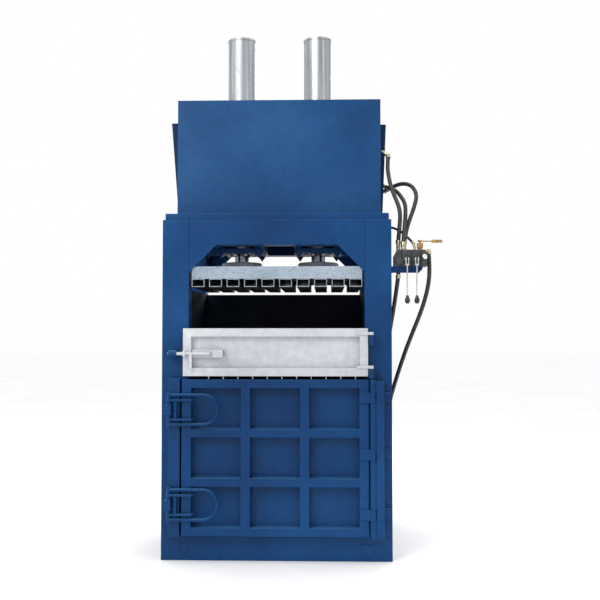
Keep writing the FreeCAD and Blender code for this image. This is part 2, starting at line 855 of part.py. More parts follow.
def bolt_keeper():
    """Bent strap round the bolt's end, with both legs on the left column."""
    out_r = keeper_in_r + keeper_t
    x0, x1 = keeper_x
    solid = fuse([rod(out_r, (x0, slide_y, slide_z), (x1, slide_y, slide_z)),
                  block(keeper_x, (slide_y, front_y), (slide_z - out_r, slide_z + out_r))])
    space = fuse([rod(keeper_in_r, (x0 - 1, slide_y, slide_z), (x1 + 1, slide_y, slide_z)),
                  block((x0 - 1, x1 + 1), (slide_y, front_y + 1),
                        (slide_z - keeper_in_r, slide_z + keeper_in_r))])
    return [solid.cut(space)]


# ---------------------------------------------------------------- latches of the lower door
def latch_post():
    x1 = door_x0 - latch_post_gap
    return hollow((x1 - latch_post_w, x1), (front_y - latch_post_d, front_y), latch_post_z, post_t, "z")


def latch_pin_bore(z):
    return rod(latch_pin_r + latch_clear, (latch_x, latch_y, z - 120), (latch_x, latch_y, z + 120))


def latch_lugs():
    """Bearing block in front of the post, with a leg back to the column beside it."""
    lugs = []
    for z in latch_zs:
        x0 = latch_x - lug_left
        span = (z - lug_h / 2, z + lug_h / 2)
        front = block((x0, x0 + lug_w), (latch_y - lug_front, front_y - latch_post_d), span)
        post_left = door_x0 - latch_post_gap - latch_post_w
        leg = block((x0, post_left), (front_y - latch_post_d, front_y), span)
        lugs.append(fuse([front, leg]).cut(latch_pin_bore(z)))
    return lugs


def claw(z):
    """Two plates on the pin, joined by a tube, whose noses press on the door."""
    nose_y = door_front - claw_nose_gap
    plates = []
    for side in (-1, 1):
        low = z + side * (claw_gap + claw_plate_t) / 2 - claw_plate_t / 2
        x_nose = latch_x + claw_reach
        outline = [(latch_x, latch_y - claw_w / 2, low), (latch_x + 70, latch_y - claw_w / 2 - 4, low),
                   (x_nose - 10, latch_y - 14, low), (x_nose, latch_y - 2, low), (x_nose, nose_y, low),
                   (x_nose - claw_nose_w, nose_y, low), (x_nose - claw_nose_w - 10, latch_y + 6, low),
                   (latch_x, latch_y + claw_w / 2, low)]
        plate = prism(outline, (0, 0, 1), claw_plate_t)
        eye = rod(claw_w / 2, (latch_x, latch_y, low), (latch_x, latch_y, low + claw_plate_t))
        plates.append(fuse([plate, eye]))
    x = latch_x + claw_tube_x
    tube = rod(claw_tube_r, (x, latch_y - 4, z - claw_gap / 2), (x, latch_y - 4, z + claw_gap / 2))
    return [fuse(plates + [tube]).cut(latch_pin_bore(z))]


def handle(z):
    """Bent round bar whose legs are welded to the pin, above and below the claw."""
    r = handle_leg_gap / 2
    x_bend = latch_x + handle_reach - r
    end = latch_x - 4
    points = [V(end, latch_y, z + r), V(x_bend, latch_y, z + r), V(x_bend + r, latch_y, z),
              V(x_bend, latch_y, z - r), V(end, latch_y, z - r)]
    path = Part.Wire([Part.LineSegment(points[0], points[1]).toShape(),
                      Part.Arc(points[1], points[2], points[3]).toShape(),
                      Part.LineSegment(points[3], points[4]).toShape()])
    section = Part.Wire(Part.makeCircle(handle_r, points[0], V(1, 0, 0)))
    bar = path.makePipeShell([section], True, False)
    pin = rod(latch_pin_r, (latch_x, latch_y, z - r - pin_over), (latch_x, latch_y, z + r + pin_over))
    return [fuse([bar, pin])]


# ---------------------------------------------------------------- valve group
def valve_bracket():
    """Channel on the right column, its outer end cut off at a slant."""
    x = (half_w, half_w + bracket_l)
    z = (bracket_z, bracket_z + bracket_h)
    bar = block(x, valve_y, z)
    inside = block((x[0] + bracket_t, x[1] - bracket_end_in), (valve_y[0] + bracket_t, valve_y[1] + 1),
                   (z[0] - 1, z[1] - bracket_t))
    slant = prism([(x[1] - bracket_cut, valve_y[0] - 1, z[0] - 1), (x[1] + 1, valve_y[0] - 1, z[0] - 1),
                   (x[1] + 1, valve_y[0] - 1, z[0] + bracket_cut)], (0, 1, 0), valve_y[1] - valve_y[0] + 2)
    hole_x, hole_y = half_w + bracket_hole[0], front_y + bracket_hole[1]
    hose_hole = rod(fitting_r + 1, (hole_x, hole_y, z[0] - 1), (hole_x, hole_y, z[1] + 1))
    return [bar.cut(inside).cut(slant).cut(hose_hole)]


def valve_body():
    """Cast inlet, two spool sections and outlet, with a spool cap and an ear at each lever."""
    y0, y1 = valve_y
    x0, x1 = valve_x
    outline = [(x0, y0, valve_z), (x1, y0, valve_z), (x1, y0, valve_top - valve_cut), (x1 - 12, y0, valve_top),
               (x0 + valve_cut - 8, y0, valve_top), (x0, y0, valve_top - valve_cut * 1.6)]
    body = prism(outline, (0, 1, 0), y1 - y0)
    half_pitch = (lever_xs[1] - lever_xs[0]) / 2
    for x in (lever_xs[0] - half_pitch, lever_xs[0] + half_pitch, lever_xs[1] + half_pitch):
        gap = (x - joint_w / 2, x + joint_w / 2)
        body = body.cut(block(gap, (y0 - 1, y0 + joint_deep), (valve_z - 1, valve_top + 1)))
        body = body.cut(block(gap, (y0 - 1, y1 + 1), (valve_top - joint_deep, valve_top + 1)))
    parts = [body]
    for x in lever_xs:
        parts.append(rod(spool_r, (x, y0 + 1, lever_z), (x, lever_y + 20, lever_z)))
        parts.append(block((x - ear_t / 2, x + ear_t / 2), (lever_y - 10, lever_y + 21),
                           (lever_z - ear_h / 2, lever_z + ear_h / 2)))
        parts.append(rod(spool_r - 4, (x, y1 - 1, lever_z), (x, y1 + end_cap_l, lever_z)))
    parts.append(rod(plug_r, (x0 + 30, y0 - plug_l, lever_z - 6), (x0 + 30, y0 + 1, lever_z - 6)))
    body = fuse(parts)
    for x in lever_xs:
        reach = lever_pin_r + hinge_clear
        body = body.cut(rod(reach, (x - 20, lever_y, lever_z), (x + 20, lever_y, lever_z)))
    return [body]


def lever(x):
    """Fork on the ear with its pin, carried down into a thin rod."""
    cheeks = []
    y = (lever_y - fork_w / 2, lever_y + fork_w / 2)
    foot = lever_z - fork_drop
    for side in (-1, 1):
        inner = x + side * (ear_t / 2 + ear_clear)
        span = (min(inner, inner + side * fork_t), max(inner, inner + side * fork_t))
        cheeks.append(rod(fork_round, (span[0], lever_y, lever_z), (span[1], lever_y, lever_z)))
        cheeks.append(block(span, y, (foot, lever_z)))
    reach = ear_t / 2 + ear_clear + fork_t
    bridge = block((x - reach, x + reach), y, (foot, foot + fork_bridge))
    pin = rod(lever_pin_r, (x - reach - 2, lever_y, lever_z), (x + reach + 2, lever_y, lever_z))
    bar = rod(lever_rod_r, (x, lever_y, foot + 2), (x, lever_y, lever_z - lever_l))
    return [fuse(cheeks + [bridge, pin, bar])]


def knob(x):
    """Pear-shaped knob under the lever's end."""
    top = lever_z - lever_l
    foot = top - knob_l
    profile = [(0, top), (knob_neck, top), (knob_collar, top - 8), (knob_r, top - knob_l / 2),
               (knob_r, foot + 12), (knob_collar, foot), (0, foot)]
    return [turned(profile, (x, lever_y))]


def relief_cap():
    """Domed cap of the relief valve, at the right end of the valve."""
    x, z = valve_x[1] - relief_r - 1, lever_z + relief_up
    y = valve_y[0] - relief_stem
    dome = Part.makeSphere(relief_r, V(x, y, z))
    stem = rod(relief_r, (x, valve_y[0], z), (x, y, z))
    reach = 2 * relief_r
    front = block((x - reach, x + reach), (y - reach, valve_y[0]), (z - reach, z + reach))
    return [fuse([dome.common(front), stem])]


def ball_valve():
    neck_top = valve_top + ball_neck_h
    top = valve_top + ball_h
    base = rod(ball_r - 4, (ball_x, ball_y, valve_top), (ball_x, ball_y, neck_top))
    body = block((ball_x - ball_r, ball_x + ball_r), (ball_y - ball_r, ball_y + ball_r), (neck_top, top))
    stem = rod(ball_stem[0], (ball_x, ball_y, top), (ball_x, ball_y, top + ball_stem[1]))
    return [fuse([base, body, stem])]


def ball_lever():
    """Flat bar on the stem, with a thicker grip at its end."""
    z = valve_top + ball_h + ball_stem[1] + hinge_clear
    x1 = ball_x + ball_lever_l
    grip_l, grip_w, grip_h = ball_grip
    hub = rod(ball_hub[0], (ball_x, ball_y, z), (ball_x, ball_y, z + ball_hub[1]))
    bar = block((ball_x, x1 - grip_l + 6), (ball_y - ball_lever_w / 2, ball_y + ball_lever_w / 2),
                (z, z + ball_lever_t))
    middle = z + ball_lever_t / 2
    grip = block((x1 - grip_l, x1), (ball_y - grip_w / 2, ball_y + grip_w / 2),
                 (middle - grip_h / 2, middle + grip_h / 2))
    return [fuse([hub, bar, grip.makeFillet(5, grip.Edges)])]


# ---------------------------------------------------------------- hoses: routes as laid, end to end
hose_routes = {
    "lift_hose": (hose_r, [
        (748, -361, 1944), (754, -362, 2016), (761, -354, 2084), (759, -334, 2145), (737, -295, 2216),
        (713, -252, 2290), (700, -208, 2375), (696, -172, 2440), (702, -150, 2500)]),
    "right_press_hose": (hose_r, [
        (704, -117, 2312), (751, -158, 2288), (777, -205, 2244), (801, -249, 2192), (800, -293, 2128),
        (792, -334, 2060), (782, -368, 1990), (776, -390, 1926)]),
    "left_press_hose": (hose_r, [
        (700, -60, 2306), (754, -90, 2335), (814, -138, 2337), (857, -193, 2306), (876, -246, 2242),
        (858, -281, 2172), (834, -292, 2107), (812, -308, 2047), (797, -327, 1992), (788, -343, 1940)]),
    "drain_hose": (drain_r, [
        (838, -348, 1932), (812, -305, 1968), (772, -250, 2015), (727, -204, 2043), (677, -162, 2052),
        (619, -120, 2050), (565, -93, 2043), (495, -77, 2028), (438, -77, 2012)]),
    "pump_hose": (hose_r, [
        (932, -380, 1859), (939, -375, 1768), (931, -358, 1659), (904, -328, 1549), (874, -296, 1460),
        (838, -256, 1364), (807, -217, 1275), (777, -170, 1177), (752, -114, 1083), (734, -53, 1007),
        (724, 36, 936), (724, 139, 896), (734, 248, 878), (744, 350, 872), (738, 455, 868), (699, 562, 858),
        (618, 648, 829), (536, 690, 793)]),
    "return_hose": (hose_r, [
        (744, -376, 1711), (733, -361, 1626), (721, -329, 1530), (708, -283, 1438), (698, -229, 1360),
        (694, -156, 1280), (694, -81, 1217), (700, 15, 1157), (712, 104, 1116), (728, 204, 1085),
        (742, 304, 1068), (743, 400, 1063), (718, 494, 1058), (652, 562, 1035), (566, 592, 975),
        (510, 577, 886), (486, 552, 790), (484, 541, 700)]),
}
# From each hose end: the fitting's far point, where its outer end meets what carries it
fitting_seats = {
    "lift_hose": ((748, -361, valve_top), (660, -128, 2546)),
    "right_press_hose": ((650, -96, 2346), (774, -396, valve_top)),
    "left_press_hose": ((650, -46, 2294), (787, -347, valve_top)),
    "drain_hose": ((848, -362, valve_top), (cyl_xs[1] + mount_half, -77, 2004)),
    "pump_hose": ((905, -380, 1868), (500, 700, 752)),
    "return_hose": ((744, -376, valve_z), (484, 540, tank_top)),
}


def hose(name):
    """Straight runs joined by tangent arcs; prints the tightest bend and the volume check."""
    r, route = hose_routes[name]
    points = [V(*p) for p in route]
    edges, bends = [], []
    start = points[0]
    for a, b, c in zip(points, points[1:], points[2:]):
        u, w = (a - b).normalize(), (c - b).normalize()
        half_turn = (math.pi - u.getAngle(w)) / 2
        cut_back = 0.45 * min((a - b).Length, (c - b).Length)
        bend = cut_back / math.tan(half_turn)
        inward = (u + w).normalize()
        middle = b + inward * (bend / math.cos(half_turn) - bend)
        entry, leave = b + u * cut_back, b + w * cut_back
        edges += [Part.LineSegment(start, entry).toShape(), Part.Arc(entry, middle, leave).toShape()]
        bends.append(bend)
        start = leave
    edges.append(Part.LineSegment(start, points[-1]).toShape())
    path = Part.Wire(edges)
    section = Part.Wire(Part.makeCircle(r, points[0], points[1] - points[0]))
    tube = path.makePipeShell([section], True, False)
    share = tube.Volume / (math.pi * r * r * path.Length)
    print("%-20s length %6.0f  tightest radius %4.0f (%4.1f diameters)  volume ratio %.4f  radii %s" % (
        name, path.Length, min(bends), min(bends) / (2 * r), share, [round(b) for b in bends]))
    return [tube]


def end_fitting(end, inner, seat, r):
    """Crimped end in line with the hose, then a stem to the face that carries it."""
    outward = (V(*end) - V(*inner)).normalize()
    corner = V(*end) + outward * (r * 1.2)
    crimp = rod(r, end, tuple(corner))
    stem = rod(r * 0.8, tuple(corner), seat)
    return fuse([crimp, Part.makeSphere(r * 0.8, corner), stem])


def hose_fittings(carriers):
    """All twelve hose ends, each trimmed flush on its carrier."""
    fittings = []
    for name, (r, route) in hose_routes.items():
        size = fitting_r if r == hose_r else drain_fitting_r
        first, last = fitting_seats[name]
        for end, inner, seat in ((route[0], route[1], first), (route[-1], route[-2], last)):
            fitting = end_fitting(end, inner, seat, size)
            for carrier in carriers:
                if fitting.BoundBox.intersect(carrier.BoundBox):
                    fitting = fitting.cut(carrier)
            fittings.append(max(fitting.Solids, key=lambda s: s.Volume))
    return fittings


# ---------------------------------------------------------------- power unit behind the press
def oil_tank():
    """Welded box against the rear columns, on four legs."""
    y = (rear_y, rear_y + tank_d)
    outer = block(tank_x, y, tank_z)
    inner = block((tank_x[0] + tank_t, tank_x[1] - tank_t), (y[0] + tank_t, y[1] - tank_t),
                  (tank_z[0] + tank_t, tank_z[1] + 1))
    legs = []
    for x in (tank_x[0], tank_x[1] - tank_leg):
        for leg_y in (y[0], y[1] - tank_leg):
            legs.append(block((x, x + tank_leg), (leg_y, leg_y + tank_leg), (0, tank_z[0])))
    return [fuse([outer.cut(inner)] + legs)]


def tank_lid():
    """Lid plate with a filler neck and its cap."""
    plate = block((tank_x[0], tank_x[1] + lid_lap), (rear_y, rear_y + tank_d + lid_lap), (tank_z[1], tank_top))
    x, y = tank_x[0] + filler[0], rear_y + filler[1]
    neck = rod(filler_neck[0], (x, y, tank_top), (x, y, tank_top + filler_neck[1]))
    cap = rod(filler_cap[0], (x, y, tank_top + filler_cap[1]), (x, y, tank_top + filler_cap[2]))
    return [fuse([plate, neck, cap])]


def motor_axis(x):
    return (x, motor_y, motor_z)


def motor():
    """Finned motor housing on feet, with terminal box, end shields and fan cover."""
    x0, x1 = motor_x0, motor_x0 + motor_l
    parts = [rod(motor_r - fin_h, motor_axis(x0), motor_axis(x1))]
    for side in (x0, x1 - shield_l):
        parts.append(rod(motor_r, motor_axis(side), motor_axis(side + shield_l)))
    for i in range(int(360 / fin_step)):
        angle = i * fin_step
        if 120 < angle < 240:        # no fins over the foot
            continue
        fin = block((x0, x1), (motor_y - fin_t / 2, motor_y + fin_t / 2),
                    (motor_z + motor_r - fin_h - 4, motor_z + motor_r))
        fin.rotate(V(*motor_axis(x0)), V(1, 0, 0), angle)
        parts.append(fin)
    foot_w, inset = motor_foot
    box_l, box_proud, box_h = terminal_box
    foot = block((x0 + inset, x1 - inset), (motor_y - foot_w / 2, motor_y + foot_w / 2),
                 (tank_top, motor_z - motor_r + 18))
    arch = block((x0 + inset - 1, x1 - inset + 1), (motor_y - motor_arch / 2, motor_y + motor_arch / 2),
                 (tank_top - 1, tank_top + motor_foot_h - 6))
    middle = (x0 + x1) / 2
    fins_y = motor_y - motor_r
    box = block((middle - box_l / 2, middle + box_l / 2), (fins_y - box_proud, fins_y + 22),
                (motor_z - box_h / 2, motor_z + box_h / 2))
    parts += [foot.cut(arch), box]
    shell_x0 = x0 - fan_cover_l
    shell_r = motor_r - 2
    cover = rod(shell_r, motor_axis(shell_x0), motor_axis(x0))
    cover = cover.cut(rod(shell_r - fan_cover_t, motor_axis(shell_x0 + fan_cover_t), motor_axis(x0)))
    for angle in range(0, 360, 30):
        for reach in vent_rings:
            y = motor_y + reach * math.cos(math.radians(angle))
            z = motor_z + reach * math.sin(math.radians(angle))
            cover = cover.cut(rod(vent_r, (shell_x0 - 1, y, z), (shell_x0 + fan_cover_t + 1, y, z)))
    bore = rod(shaft_r + shaft_clear, motor_axis(x0 - 1), motor_axis(x1 + 1))
    return [fuse([fuse(parts), cover]).cut(bore)]


def motor_fan():
    """Shaft right through the motor, with the fan behind the cover and half a coupling in the bell."""
    x0, x1 = motor_x0, motor_x0 + motor_l
    back, front = x0 - 50, x0 - 12
    blades = []
    for i in range(fan_blades):
        blade = block((back + 2, front - 2), (motor_y - 2, motor_y + 2), (motor_z + 20, motor_z + fan_r))
        blade.rotate(V(*motor_axis(x0)), V(1, 0, 0), i * 360.0 / fan_blades)
        blades.append(blade)
    hub = rod(24, motor_axis(back), motor_axis(front))
    end = x1 + bell_l - coupling_gap
    shaft = rod(shaft_r, motor_axis(back), motor_axis(end))
    coupling = rod(coupling_r, motor_axis(x1 + coupling_gap), motor_axis(end))
    return [fuse([hub, shaft, coupling] + blades)]


def pump():
    """Bell housing and gear pump in one line with the motor, standing on a foot."""
    x0 = motor_x0 + motor_l
    x1 = x0 + bell_l
    bell = ring(bell_r, bell_r - bell_t, motor_axis(x0), motor_axis(x1))
    plate = rod(bell_r, motor_axis(x1 - bell_plate), motor_axis(x1))
    half = pump_w / 2
    body = block((x1, x1 + pump_l), (motor_y - half, motor_y + half), (motor_z - half, motor_z + half))
    along = [e for e in body.Edges if e.BoundBox.XLength > pump_l / 2]
    body = body.makeFillet(pump_round, along)
    foot_l, foot_w = pump_foot
    foot = block((x1 + 20, x1 + 20 + foot_l), (motor_y - foot_w / 2, motor_y + foot_w / 2),
                 (tank_top, motor_z - half + 2))
    return [fuse([bell, plate, body, foot])]


# ---------------------------------------------------------------- write every node
def main():
    covers = hood_side_covers()
    beams = cylinder_beams()
    valve = valve_body()
    lid = tank_lid()
    gear_pump = pump()
    nodes = {
        "base_beams": base_beams(), "floor_plate": floor_plate(), "columns": columns(), "lintels": lintels(),
        "corner_gussets": corner_gussets(), "side_walls": side_walls(), "rear_wall": rear_wall(),
        "wall_ribs": wall_ribs(), "top_tray": top_tray(), "cylinder_beams": beams,
        "cylinder_mounts": cylinder_mounts(), "cylinder_heads": cylinder_heads(),
        "cylinder_bolts": cylinder_bolts(), "cylinder_barrels": cylinder_barrels(),
        "hood_panels": hood_panels(), "hood_side_covers": covers,
        "door_posts": [latch_post(), hinge_post()], "latch_lugs": latch_lugs(), "bolt_keeper": bolt_keeper(),
        "hinge_knuckles": hinge_knuckles(), "hinge_rod": hinge_rod(),
        "feed_door_gudgeons": feed_door_gudgeons(), "valve_bracket": valve_bracket(), "valve_body": valve,
        "relief_cap": relief_cap(), "ball_valve": ball_valve(),
        "hose_fittings": hose_fittings(covers + beams + valve + lid + gear_pump),
        "oil_tank": oil_tank(), "tank_lid": lid, "motor": motor(), "motor_fan": motor_fan(), "pump": gear_pump,
        "platen": platen(), "platen_tubes": platen_tube_row(), "rod_flanges": rod_flanges(), "rods": rods(),
        "pistons": pistons(), "feed_door_frame": feed_door_frame(), "feed_door_panel": feed_door_panel(),
        "feed_hinge_straps": feed_hinge_straps(), "bolt_guides": bolt_guides(), "slide_bolt": slide_bolt(),
        "door_grid": door_grid(), "door_skin": door_skin(), "door_straps": door_straps(),
        "lower_claw": claw(latch_zs[0]), "lower_handle": handle(latch_zs[0]),
        "upper_claw": claw(latch_zs[1]), "upper_handle": handle(latch_zs[1]),
        "left_lever": lever(lever_xs[0]), "right_lever": lever(lever_xs[1]),
        "left_knob": knob(lever_xs[0]), "right_knob": knob(lever_xs[1]), "ball_lever": ball_lever(),
    }
    for name in hose_routes:
        nodes[name] = hose(name)
    for node, solids in nodes.items():
        save(node, solids)
    print(len(nodes), "nodes")


main()
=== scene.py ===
import bpy
import bmesh
import math
import random
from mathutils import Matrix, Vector
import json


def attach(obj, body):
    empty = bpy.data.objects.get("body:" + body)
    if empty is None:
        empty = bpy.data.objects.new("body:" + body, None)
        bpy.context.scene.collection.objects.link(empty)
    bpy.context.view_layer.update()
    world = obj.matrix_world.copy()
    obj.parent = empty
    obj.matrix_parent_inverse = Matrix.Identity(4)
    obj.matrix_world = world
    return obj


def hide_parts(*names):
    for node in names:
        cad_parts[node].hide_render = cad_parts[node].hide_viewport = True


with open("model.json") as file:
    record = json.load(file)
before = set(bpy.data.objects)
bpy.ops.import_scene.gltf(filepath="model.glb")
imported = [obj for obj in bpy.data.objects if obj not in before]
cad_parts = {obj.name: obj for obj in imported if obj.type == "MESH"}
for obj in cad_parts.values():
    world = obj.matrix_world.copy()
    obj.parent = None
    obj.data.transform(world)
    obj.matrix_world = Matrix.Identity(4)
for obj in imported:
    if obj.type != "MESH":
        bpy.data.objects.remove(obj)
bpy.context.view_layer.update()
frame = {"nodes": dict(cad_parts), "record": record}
nodes = frame["nodes"]
bodyOf = {node: body for body, names in frame["record"]["behaviour"]["bodies"].items() for node in names}
slotOf = {part["node"]: part["material_slot"] for part in frame["record"]["subparts"]}


# camera, floor and light
cameraSetup = {"place": (0.304, -5.740, 1.370), "yaw": 1.74, "pitch": 2.2, "lens": 52.3}
floorSetup = {"radius": 60.0, "colour": (0.97, 0.97, 0.97), "mottle": (0.97, 1.02), "rough": (0.75, 0.90)}
skySetup = {"colour": (1.0, 1.0, 1.0), "strength": 1.0}
lampSetup = {
    "key": {"place": (-3.2, -5.4, 5.6), "aim": (0.0, 0.0, 1.5), "size": (3.0, 3.0), "power": 210},
    "fill": {"place": (4.6, -4.6, 3.2), "aim": (0.2, 0.0, 1.4), "size": (3.0, 3.0), "power": 20},
    "top": {"place": (0.0, -0.6, 6.4), "aim": (0.0, 0.0, 0.0), "size": (4.0, 4.0), "power": 60},
    "rear": {"place": (2.0, 5.6, 4.2), "aim": (0.0, 0.0, 1.4), "size": (4.0, 3.0), "power": 170},
}


def makeCamera():
    data = bpy.data.cameras.new("mainCamera")
    data.lens = cameraSetup["lens"]
    data.sensor_width = 36.0
    data.clip_end = 200.0
    camera = bpy.data.objects.new("mainCamera", data)
    camera.location = cameraSetup["place"]
    camera.rotation_euler = (math.radians(90 + cameraSetup["pitch"]), 0, math.radians(cameraSetup["yaw"]))
    bpy.context.scene.collection.objects.link(camera)
    bpy.context.scene.camera = camera


def makeLamp(name, setup):
    data = bpy.data.lights.new(name + "Lamp", "AREA")
    data.shape = "RECTANGLE"
    data.size, data.size_y = setup["size"]
    data.energy = setup["power"]
    lamp = bpy.data.objects.new(name + "Lamp", data)
    lamp.location = setup["place"]
    aim = Vector(setup["aim"]) - lamp.location
    lamp.rotation_euler = aim.to_track_quat("-Z", "Y").to_euler()
    bpy.context.scene.collection.objects.link(lamp)


def makeStudio():
    world = bpy.data.worlds.new("softRoom")
    world.use_nodes = True
    sky = world.node_tree.nodes["Background"]
    sky.inputs["Color"].default_value = (*skySetup["colour"], 1)
    sky.inputs["Strength"].default_value = skySetup["strength"]
    bpy.context.scene.world = world
    bpy.context.scene.view_settings.view_transform = "Standard"
    for name, setup in lampSetup.items():
        makeLamp(name, setup)


makeCamera()
makeStudio()
print("camera and lamps ready")


# small tools for meshes
def addPiece(name, mesh, body, material):
    piece = bpy.data.objects.new(name, mesh)
    bpy.context.scene.collection.objects.link(piece)
    mesh.materials.clear()
    mesh.materials.append(material)
    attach(piece, body)
    return piece


def meshFrom(name, bm, smoothAngle=40):
    bm.normal_update()
    mesh = bpy.data.meshes.new(name)
    bm.to_mesh(mesh)
    bm.free()
    mesh.shade_smooth()
    mesh.set_sharp_from_angle(angle=math.radians(smoothAngle))
    return mesh


# materials
def newMaterial(name):
    material = bpy.data.materials.new(name)
    material.use_nodes = True
    tree = material.node_tree
    shader = tree.nodes["Principled BSDF"]
    return material, tree, shader


def placeNode(tree, kind, **values):
    node = tree.nodes.new(kind)
    for key, value in values.items():
        if hasattr(node, key):
            setattr(node, key, value)
        else:
            node.inputs[key].default_value = value
    return node


def surfacePoint(tree, stretch=(1, 1, 1)):
    # a point on the piece itself, so a pattern stays put when the piece moves
    where = tree.nodes.new("ShaderNodeTexCoord")
    mapping = placeNode(tree, "ShaderNodeMapping", Scale=stretch)
    tree.links.new(where.outputs["Object"], mapping.inputs["Vector"])
    return mapping.outputs["Vector"]


def noise(tree, point, scale, detail=4.0, roughness=0.5):
    node = placeNode(tree, "ShaderNodeTexNoise", Scale=scale, Detail=detail, Roughness=roughness)
    tree.links.new(point, node.inputs["Vector"])
    return node.outputs["Fac"]


def ramp(tree, value, stops):
    node = tree.nodes.new("ShaderNodeValToRGB")
    elements = node.color_ramp.elements
    while len(elements) < len(stops):
        elements.new(0.5)
    for element, (place, colour) in zip(elements, stops):
        element.position = place
        element.color = (*colour, 1) if len(colour) == 3 else colour
    tree.links.new(value, node.inputs["Fac"])
    return node.outputs["Color"]


def facing(tree, axis, low, high, bothWays=False):
    # 0 to 1 as the surface turns towards an axis, or towards either end of it
    side = tree.nodes.new("ShaderNodeNewGeometry")
    split = tree.nodes.new("ShaderNodeSeparateXYZ")
    tree.links.new(side.outputs["Normal"], split.inputs["Vector"])
    turned = split.outputs[axis]
    if bothWays:
        size = placeNode(tree, "ShaderNodeMath", operation="ABSOLUTE")
        tree.links.new(turned, size.inputs[0])
        turned = size.outputs[0]
    return ramp(tree, turned, [(low, grey(0.0)), (high, grey(1.0))])


def grey(value):
    return (value, value, value)


def mixColour(tree, share, first, second, blend="MIX"):
    node = tree.nodes.new("ShaderNodeMix")
    node.data_type = "RGBA"
    node.blend_type = blend
    for socket, value in ((node.inputs[0], share), (node.inputs[6], first), (node.inputs[7], second)):
        if isinstance(value, bpy.types.NodeSocket):
            tree.links.new(value, socket)
        else:
            socket.default_value = value if isinstance(value, float) else (*value, 1)
    return node.outputs[2]


def addBump(tree, shader, height, distance, strength=1.0):
    node = placeNode(tree, "ShaderNodeBump", Strength=strength, Distance=distance)
    tree.links.new(height, node.inputs["Height"])
    tree.links.new(node.outputs["Normal"], shader.inputs["Normal"])


def setRough(tree, shader, value, limits):
    low, high = limits
    tree.links.new(ramp(tree, value, [(0.30, grey(low)), (0.70, grey(high))]), shader.inputs["Roughness"])


# colours of each paint; the top colour is painted light for faces turned upwards
paintFinish = {
    "enamelBlue": {
        "deep": (0.000, 0.026, 0.099), "middle": (0.000, 0.038, 0.135), "bright": (0.003, 0.053, 0.173),
        "upper": (0.040, 0.132, 0.277),
        "rough": (0.34, 0.50), "gloss": 0.18, "peel": 0.00022, "wave": 0.0030, "grime": 0.25},
    # the hood's blue is a lighter copy of the enamel: painted light reflected on the hood panels
    "hoodBlue": {
        "deep": (0.001, 0.033, 0.109), "middle": (0.004, 0.051, 0.158), "bright": (0.011, 0.073, 0.198),
        "upper": (0.066, 0.172, 0.317),
        "rough": (0.34, 0.50), "gloss": 0.18, "peel": 0.00022, "wave": 0.0050, "grime": 0.2},
    # a darker copy of the enamel: painted shade, for the hood side covers and the valve bracket
    "navyBlue": {
        "deep": (0.000, 0.009, 0.045), "middle": (0.000, 0.015, 0.066), "bright": (0.001, 0.022, 0.086),
        "upper": (0.022, 0.098, 0.225),
        "rough": (0.38, 0.54), "gloss": 0.16, "peel": 0.00022, "wave": 0.0030, "grime": 0.25},
    # a near-black copy of the enamel: painted shade inside the chamber walls and floor
    "chamberBlue": {
        "deep": (0.000, 0.003, 0.010), "middle": (0.001, 0.006, 0.018), "bright": (0.002, 0.011, 0.030),
        "rough": (0.45, 0.70), "gloss": 0.12, "peel": 0.0003, "wave": 0.0030, "grime": 0.6},
    "doorWhite": {
        "deep": (0.400, 0.424, 0.456), "middle": (0.480, 0.504, 0.536), "bright": (0.560, 0.584, 0.608),
        "rough": (0.36, 0.52), "gloss": 0.35, "peel": 0.00022, "wave": 0.0020, "grime": 0.12},
    "motorBlue": {
        "deep": (0.010, 0.050, 0.130), "middle": (0.015, 0.070, 0.180), "bright": (0.03, 0.10, 0.24),
        "rough": (0.40, 0.60), "gloss": 0.18, "peel": 0.0003, "wave": 0.0, "grime": 0.3},
}
# sizes of the paint's patterns, larger is finer
paintGrain = {"broad": 1.3, "mottle": 22.0, "specks": 160.0, "patches": 5.0, "rough": 8.0, "peel": 380.0,
              "wave": 2.6}
speckDepth = 0.45        # specks against the deepest paint
# faces turned up this far take the top colour: painted light from overhead
topLightFrom, topLightTo = 0.55, 0.95


def enamel(name):
    setup = paintFinish[name]
    material, tree, shader = newMaterial(name)
    point = surfacePoint(tree)
    broad = noise(tree, point, paintGrain["broad"], 2.0)
    tone = ramp(tree, broad, [(0.30, setup["deep"]), (0.50, setup["middle"]), (0.72, setup["bright"])])
    mottle = noise(tree, point, paintGrain["mottle"], 8.0, 0.65)
    tone = mixColour(tree, 1.0, tone, ramp(tree, mottle, [(0.30, grey(0.86)), (0.70, grey(1.10))]), "MULTIPLY")
    specks = ramp(tree, noise(tree, point, paintGrain["specks"], 3.0, 0.7),
                  [(0.66, grey(0.0)), (0.74, grey(1.0))])
    patches = ramp(tree, noise(tree, point, paintGrain["patches"], 5.0, 0.6),
                   [(0.45, grey(0.0)), (0.75, grey(setup["grime"]))])
    share = mixColour(tree, 1.0, specks, patches, "MULTIPLY")
    tone = mixColour(tree, share, tone, tuple(c * speckDepth for c in setup["deep"]))
    # painted light: faces turned upwards are lightened towards the top colour
    if "upper" in setup:
        tone = mixColour(tree, facing(tree, "Z", topLightFrom, topLightTo), tone, setup["upper"])
    tree.links.new(tone, shader.inputs["Base Color"])
    setRough(tree, shader, noise(tree, point, paintGrain["rough"], 6.0, 0.6), setup["rough"])
    shader.inputs["Specular IOR Level"].default_value = setup["gloss"]
    peel = placeNode(tree, "ShaderNodeBump", Strength=1.0, Distance=setup["peel"])
    tree.links.new(noise(tree, point, paintGrain["peel"], 2.0), peel.inputs["Height"])
    wave = placeNode(tree, "ShaderNodeBump", Strength=0.6, Distance=setup["wave"])
    tree.links.new(noise(tree, point, paintGrain["wave"], 1.0), wave.inputs["Height"])
    tree.links.new(peel.outputs["Normal"], wave.inputs["Normal"])
    tree.links.new(wave.outputs["Normal"], shader.inputs["Normal"])
    return material


